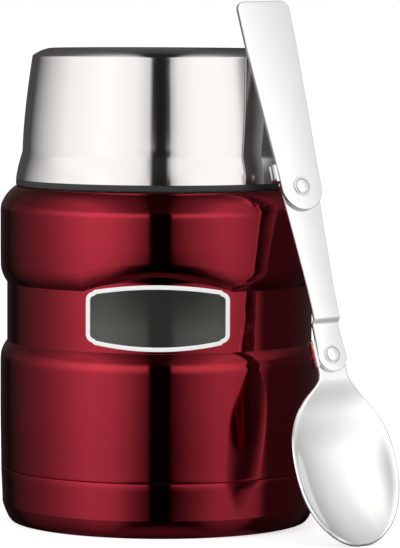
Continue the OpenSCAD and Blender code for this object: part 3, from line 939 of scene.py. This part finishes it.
# ---------------------------------------------------------------- the lid

CREASE_Z = 111.5
CREASE_R = 41.5
LID_EDGE_Z = 103.2
LINER_R = 39.2
LINER_CREST_R = 38.4
LINER_THREAD_Z = 109.5


def lid_line(rim_r, top_z, t):
    """The lid's side from its lower edge up to the edge of its top, moved inwards by t."""
    flare = [(CREASE_R - t + (rim_r - CREASE_R) * (u + math.sin(math.pi / 2 * u)) / 2,
              CREASE_Z - (CREASE_Z - LID_EDGE_Z) * u)
             for u in [1 - i / 8 for i in range(9)]]
    side = [(CREASE_R - t - 2.95 * (i / 12) ** 1.5, CREASE_Z + (28.4 - t) * i / 12)
            for i in range(1, 13)]
    edge = arc((38.15, top_z - 2.51), 0.4, 4, 53, 4)
    crown = arc((31.2, top_z - 11.78), 12, 54.5, 79, 10) + [(33.1, top_z), (30, top_z)]
    return flare + side + [(r - t, z - t) for r, z in edge + crown]


class FOODJAR_OT_lid(bpy.types.Operator):
    """Spins the lid's satin steel shell and the black liner with its rim and thread"""

    bl_idname = "foodjar.lid"
    bl_label = "Lid"

    def execute(self, context):
        lid = context.scene.foodjar_lid
        rim_r, top_z = lid.rim_radius / MM, lid.top_height / MM
        outside = lid_line(rim_r, top_z, 0)
        inside = lid_line(rim_r, top_z, WALL)
        shell = turned("lid_shell_satin", outside + [(0, top_z), (0, top_z - WALL)]
                       + inside[::-1] + outside[:1])
        smooth(shell)
        finish_piece(shell, "lid",
                     [brushed_steel("satin_lid_steel", lid.steel, 0.09, 0.125, 0.001, draw=1.0)],
                     ["lid_shell"])
        low = RIM_LOW.z / MM
        bore = [(LINER_R, low), (LINER_R, 113), (38.5, 114.3), (37.6, 128), (36.8, 136),
                (34, 138.6), (0, 138.6), (0, 140), (34.5, 140), (38, 136.7), (39, 128.7),
                (39.9, 115), (40.6, 113.7), (40.6, LID_EDGE_Z)]
        rim = ([(rim_r - 0.25, LID_EDGE_Z)] + arc((rim_r - 0.25, 102.95), 0.25, 90, 0, 3)
               + arc((rim_r - 0.3, low + 0.3), 0.3, 0, -90, 3))
        groove = [(42.6, low), (42.6, low + 1), (40, low + 1), (40, low)]
        liner = turned("lid_liner_moulded", bore + rim + groove + bore[:1])
        thread = thread_ridges("liner_thread", LINER_R, LINER_CREST_R, LINER_THREAD_Z)
        liner = joined([liner, thread])
        smooth(liner)
        finish_piece(liner, "lid",
                     [moulded_plastic("black_polypropylene", lid.plastic)], ["lid_liner"])
        return {"FINISHED"}


# ---------------------------------------------------------------- the spoon

SPOON_PLACE = (Matrix.Translation((63.74 * MM, -64.04 * MM, 2.34 * MM))
               @ Matrix.Rotation(math.radians(33), 4, "Z")
               @ Matrix.Rotation(math.radians(-19.55), 4, "X")
               @ Matrix.Rotation(math.radians(-1.5), 4, "Y"))
UPPER_RIVET = 106.7
LOWER_RIVET = 56.5
SHANK_R = 1.8
LEAF = 1.2
MIDDLE_Y = 1.35
NECK_Y = 4.1
RIM_Y = 7.0
NECK_HALF = 5.0
END_R = 5.05
BOWL_TIP = 0.95
BOWL_WIDE = 24.5
BOWL_NECK = 49.0
BOWL_JOIN = 51.5
BOWL_DEPTH = 5.4
RIM_RISE_Z = 42
RIM_RISE = 9
JOGGLE = 1.4
LOWER_END_Y = 2.75
JOGGLE_LOW = 9.0
JOGGLE_RUN = 1.9


def stand_spoon(obj):
    """Stands a piece, modelled along the spoon's own axis, where the spoon leans."""
    obj.matrix_world = SPOON_PLACE
    settle(obj)


def handle_outline():
    """The handle's outline, from its round end to its wide free end."""
    half, length, corner = 9.15, 57.3, 2.5
    right = [(7.25, 7.6), (8.15, 25.3), (9.0, 43)]
    return [(x, z + UPPER_RIVET) for x, z in
            arc((0, 0), 7.05, 188, 352, 28) + right
            + arc((half - corner, length - corner), corner, 0, 90, 8)
            + arc((corner - half, length - corner), corner, 90, 180, 8)
            + [(-x, z) for x, z in right[::-1]]]


def middle_outline():
    """The middle leaf's outline about the lower rivet."""
    span = UPPER_RIVET - LOWER_RIVET
    right = [(4.55, 6), (4.55, 14), (4.7, 20), (5.65, 36.5)]
    return [(x, z + LOWER_RIVET) for x, z in
            arc((0, 0), END_R, 190, 350, 24) + right + arc((0, span), 6.6, -10, 190, 30)
            + [(-x, z) for x, z in right[::-1]]]


def stop_tab(name, x, rivet, low, high, front, back, root):
    """A stop tab on edge beside a rivet, with the arm that carries it."""
    outer, low, high = -x - 1.1, rivet + low, rivet + high
    tab = plate(name, [(outer, low), (-x, low), (-x, high), (outer, high)],
                front, back + LEAF - front)
    rounded(tab, 0.3, 3)
    outer, low, high = outer + 0.3, low + 0.2, high - 0.2
    arm = plate(name + "_arm", [(outer, low), (-root, low), (-root, high), (outer, high)],
                back, LEAF)
    return joined([tab, arm])


def bowl_flare(l):
    """How far the bowl stands out beyond its neck at the height l, with a fillet between."""
    share = 1 - ((l - BOWL_WIDE) / (BOWL_NECK - BOWL_WIDE)) ** 2.6
    return (share + math.sqrt(share * share + 0.012)) / 2


def bowl_half(l, width):
    """Half the width of the bowl and its neck at the height l."""
    if l < BOWL_WIDE:
        u = (BOWL_WIDE - l) / (BOWL_WIDE - BOWL_TIP)
        return width / 2 * (1 - u**2.1) ** (1 / 2.1)
    if l > LOWER_RIVET:
        return math.sqrt(max(0.0, END_R**2 - (l - LOWER_RIVET) ** 2))
    end = bowl_flare(BOWL_JOIN)
    stand_out = max(0.0, bowl_flare(l) - end) / (bowl_flare(BOWL_WIDE) - end)
    return NECK_HALF + (width / 2 - NECK_HALF) * stand_out


def bowl_front(l, s):
    """The front face's depth at the height l and at s, from -1 to 1, across."""
    rim = RIM_Y + (NECK_Y - RIM_Y) * ease((l - RIM_RISE_Z) / RIM_RISE)
    if l < BOWL_WIDE:
        hollow = 1 - ((BOWL_WIDE - l) / (BOWL_WIDE - BOWL_TIP)) ** 2.2
    else:
        hollow = 1 - ease((l - BOWL_WIDE) / (BOWL_NECK - BOWL_WIDE))
    return rim + BOWL_DEPTH * hollow * (1 - abs(s) ** 2.4)


class FOODJAR_OT_spoon_leaves(bpy.types.Operator):
    """Blanks the spoon's handle and middle leaf, sets the joggle and bends the stop tab"""

    bl_idname = "foodjar.spoon_leaves"
    bl_label = "Spoon leaves"

    def execute(self, context):
        steel = context.scene.foodjar_spoon.steel
        # The second metal puts painted shade on the leaves' edges, as dark outlines
        metals = [polished_steel(steel), sheared_steel_painted_shade(steel)]
        handle = plate("spoon_handle_leaf", handle_outline(), 0, LEAF)
        rounded(handle, 0.28, 4)
        mark_painted_shade_edges(handle)
        smooth(handle, 40)
        stand_spoon(handle)
        finish_piece(handle, "spoon_handle", metals, ["spoon_handle"])
        middle = plate("spoon_middle_leaf", middle_outline(), MIDDLE_Y, LEAF)
        rounded(middle, 0.28, 4)
        mark_painted_shade_edges(middle)
        low, run = LOWER_RIVET + JOGGLE_LOW, JOGGLE_RUN
        for i in range(9):
            cut_across(middle, (0, 0, low + run * i / 8), (0, 0, 1))
        move_groups(middle, lambda p: round(p.z, 2) if p.z < low + run + 0.05 else None,
                    lambda z: (0, JOGGLE * (1 - ease((z - low) / run)), 0))
        tab = stop_tab("upper_stop", 7.5, UPPER_RIVET, low=1.8, high=7.0, front=-0.4,
                       back=MIDDLE_Y, root=5.0)
        middle = joined([middle, tab])
        smooth(middle, 40)
        stand_spoon(middle)
        finish_piece(middle, "spoon_middle", metals, ["spoon_middle"])
        return {"FINISHED"}


class FOODJAR_OT_spoon_bowl(bpy.types.Operator):
    """Presses the spoon's bowl and neck from a sheet and bends its stop tab"""

    bl_idname = "foodjar.spoon_bowl"
    bl_label = "Spoon bowl"

    def execute(self, context):
        spoon = context.scene.foodjar_spoon
        width = spoon.bowl_width / MM
        rows, columns = 44, 16
        top = LOWER_RIVET + END_R
        deselect()
        bpy.ops.mesh.primitive_grid_add(x_subdivisions=columns, y_subdivisions=rows, size=2 * MM)
        bowl = bpy.context.object
        bowl.name = bowl.data.name = "spoon_bowl_pressed"
        middle = (top + BOWL_TIP) / 2

        def move(key):
            s, t = key
            # Rows gather towards the tip and the round end of the neck
            l = middle + (top - BOWL_TIP) / 2 * math.sin(math.pi / 2 * t)
            l = min(top - 0.12, max(BOWL_TIP + 0.05, l))
            return (bowl_half(l, width) * s - s, bowl_front(l, s) - t, l)

        move_groups(bowl, lambda p: (round(p.x, 4), round(p.y, 4)), move)
        edit(bowl)
        bpy.ops.mesh.select_all(action="SELECT")
        bpy.ops.mesh.normals_make_consistent(inside=False)
        close()
        facing = sum(face.normal.y for face in bowl.data.polygons)
        modify(bowl, "SOLIDIFY", thickness=LEAF * MM, offset=1.0 if facing > 0 else -1.0,
               use_even_offset=True)
        modify(bowl, "SUBSURF", levels=1, render_levels=1)
        tab = stop_tab("lower_stop", END_R + 0.2, LOWER_RIVET, low=-3.5, high=4.5, front=2.3,
                       back=NECK_Y, root=4.0)
        bowl = joined([bowl, tab])
        smooth(bowl, 40)
        stand_spoon(bowl)
        finish_piece(bowl, "spoon_bowl", [polished_steel(spoon.steel)],
                     ["spoon_bowl"])
        return {"FINISHED"}


class FOODJAR_OT_rivets(bpy.types.Operator):
    """Heads the two rivets: a domed head on a flat ring in front and a closed tail behind"""

    bl_idname = "foodjar.rivets"
    bl_label = "Rivets"

    def execute(self, context):
        metal = brushed_steel("rivet_steel", context.scene.foodjar_spoon.steel, 0.1, 0.2, 0.001)
        for name, height, front, back in (
                ("upper_rivet", UPPER_RIVET, -0.05, MIDDLE_Y + LEAF),
                ("lower_rivet", LOWER_RIVET, LOWER_END_Y, NECK_Y + LEAF + 0.05)):
            length = back - front
            dome = [(2.45 * math.cos(a), 0.25 + 0.75 * math.sin(a))
                    for a in [math.radians(90 - 11.25 * i) for i in range(9)]]
            head = dome + [(2.55, 0.25), (2.8, 0.25), (2.9, 0.15), (2.9, 0), (SHANK_R, 0)]
            tail = [(SHANK_R, -length), (2.6, -length), (2.6, -length - 0.35),
                    (2.3, -length - 0.6), (0, -length - 0.6)]
            rivet = turned(name + "_headed", head + tail, 64)
            rivet.matrix_world = (Matrix.Translation((0, front * MM, height * MM))
                                  @ Matrix.Rotation(math.radians(90), 4, "X"))
            settle(rivet)
            smooth(rivet, 35)
            stand_spoon(rivet)
            finish_piece(rivet, "spoon_middle", [metal], [name])
        return {"FINISHED"}


# ---------------------------------------------------------------- the inside


class FOODJAR_OT_inside(bpy.types.Operator):
    """Finishes the pieces that show once the jar is open, and those shut inside it"""

    bl_idname = "foodjar.inside"
    bl_label = "Inside"

    def execute(self, context):
        body = context.scene.foodjar_body
        lid = context.scene.foodjar_lid
        steel = brushed_steel("drawn_steel_inside", body.steel, 0.22, 0.36, 0.003, 0.3)
        plastic = moulded_plastic("black_stopper_plastic", lid.plastic, 0.46)
        rubber = silicone(linear("a9aba8"))
        finishes = {
            "inner_vessel": steel, "inner_bottom": steel, "vacuum_bottom": steel,
            "stopper_body": plastic, "stopper_cover": plastic,
            "stopper_seal": rubber, "lid_seal": rubber,
            "stopper_foam": plain_inner("cream_foam", linear("e2dcc8"), 0.8, 0.8),
            "getter": plain_inner("sintered_getter", linear("8a8a86"), 0.3, 0.5, 1.0),
            "seal_bead": plain_inner("glass_solder", linear("5c5a4e"), 0.5, 0.2),
        }
        for name, material in finishes.items():
            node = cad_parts[name]
            node.data.materials.clear()
            node.data.materials.append(material)
            lit_in(node, "vessel_room")
        return {"FINISHED"}


# ---------------------------------------------------------------- panel and registration


class FOODJAR_PT_panel(bpy.types.Panel):
    """Lists the jar's settings and the steps that build it."""

    bl_label = "Food jar"
    bl_idname = "FOODJAR_PT_panel"
    bl_space_type = "VIEW_3D"
    bl_region_type = "UI"
    bl_category = "Food jar"

    def draw(self, context):
        scene = context.scene
        for group in (scene.foodjar_body, scene.foodjar_lid, scene.foodjar_spoon):
            box = self.layout.box()
            for name in group.__annotations__:
                box.prop(group, name)
        for step in STEPS:
            self.layout.operator(step.bl_idname)


STEPS = (FOODJAR_OT_stage, FOODJAR_OT_shell, FOODJAR_OT_base, FOODJAR_OT_badge, FOODJAR_OT_lid,
         FOODJAR_OT_spoon_leaves, FOODJAR_OT_spoon_bowl, FOODJAR_OT_rivets, FOODJAR_OT_inside)
GROUPS = (("foodjar_body", FoodJarBody), ("foodjar_lid", FoodJarLid),
          ("foodjar_spoon", FoodJarSpoon))


def register():
    for name, group in GROUPS:
        bpy.utils.register_class(group)
        setattr(bpy.types.Scene, name, bpy.props.PointerProperty(type=group))
    for step in STEPS:
        bpy.utils.register_class(step)
    bpy.utils.register_class(FOODJAR_PT_panel)


def unregister():
    bpy.utils.unregister_class(FOODJAR_PT_panel)
    for step in reversed(STEPS):
        bpy.utils.unregister_class(step)
    for name, group in reversed(GROUPS):
        delattr(bpy.types.Scene, name)
        bpy.utils.unregister_class(group)


def main():
    """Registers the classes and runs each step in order."""
    register()
    for step in STEPS:
        area, name = step.bl_idname.split(".")
        getattr(getattr(bpy.ops, area), name)()


if __name__ == "__main__":
    main()
